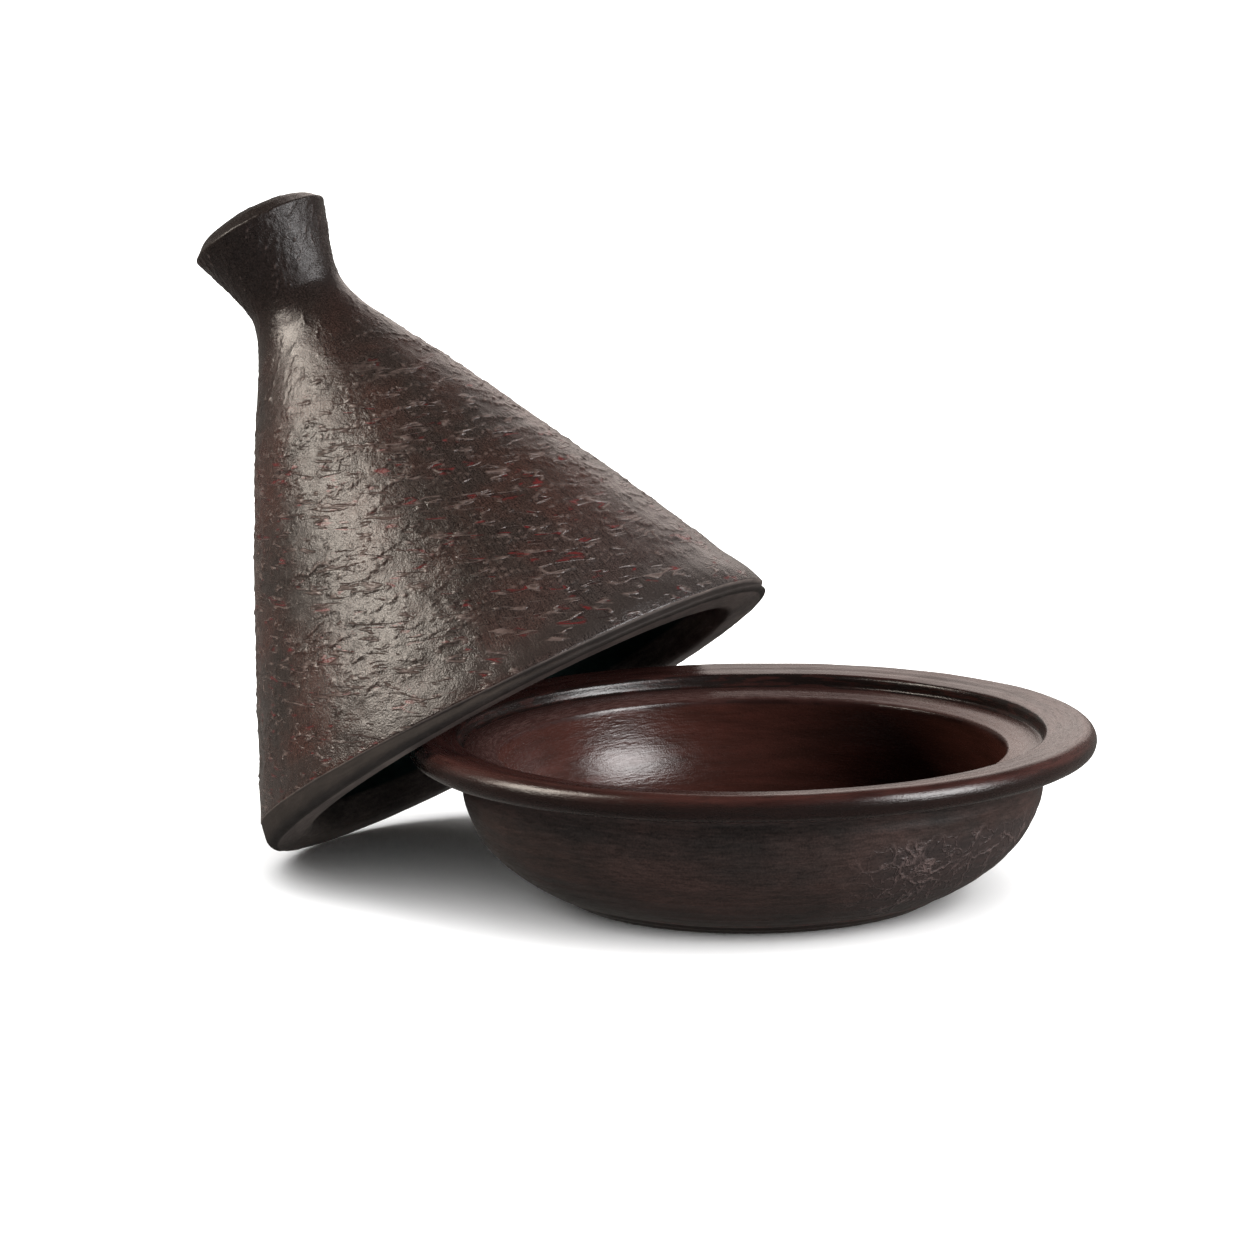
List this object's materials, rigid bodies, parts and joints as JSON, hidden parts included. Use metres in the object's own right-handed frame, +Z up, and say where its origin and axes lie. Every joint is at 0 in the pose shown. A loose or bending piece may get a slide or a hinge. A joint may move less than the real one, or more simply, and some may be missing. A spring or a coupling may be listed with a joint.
{
  "type": "tagine pot",
  "caption": "Round clay cooking dish with a tall cone lid and flared knob, the lid leaning against the dish's rim as it is set down beside it.",
  "frame": {"origin": "centre of the dish's flat foot, on the surface it stands on", "axes": "+Z up, out of the bowl; -X towards the side the lid leans on; +Y to the back, so the XZ plane mirrors the set"},
  "size_m": [0.4013, 0.28, 0.2767],
  "materials": {
    "dish_clay": "satin",
    "lid_clay": "satin"
  },
  "bodies": {
    "dish": {"dish": "dish_clay"},
    "lid": {"lid_cone": "lid_clay", "lid_knob": "lid_clay"}
  },
  "joints": [
    {"name": "lid_lift", "type": "slide", "parent": "dish", "child": "lid", "axis": [0, 0, 1], "range_m": [0, 0.08]}
  ]
}
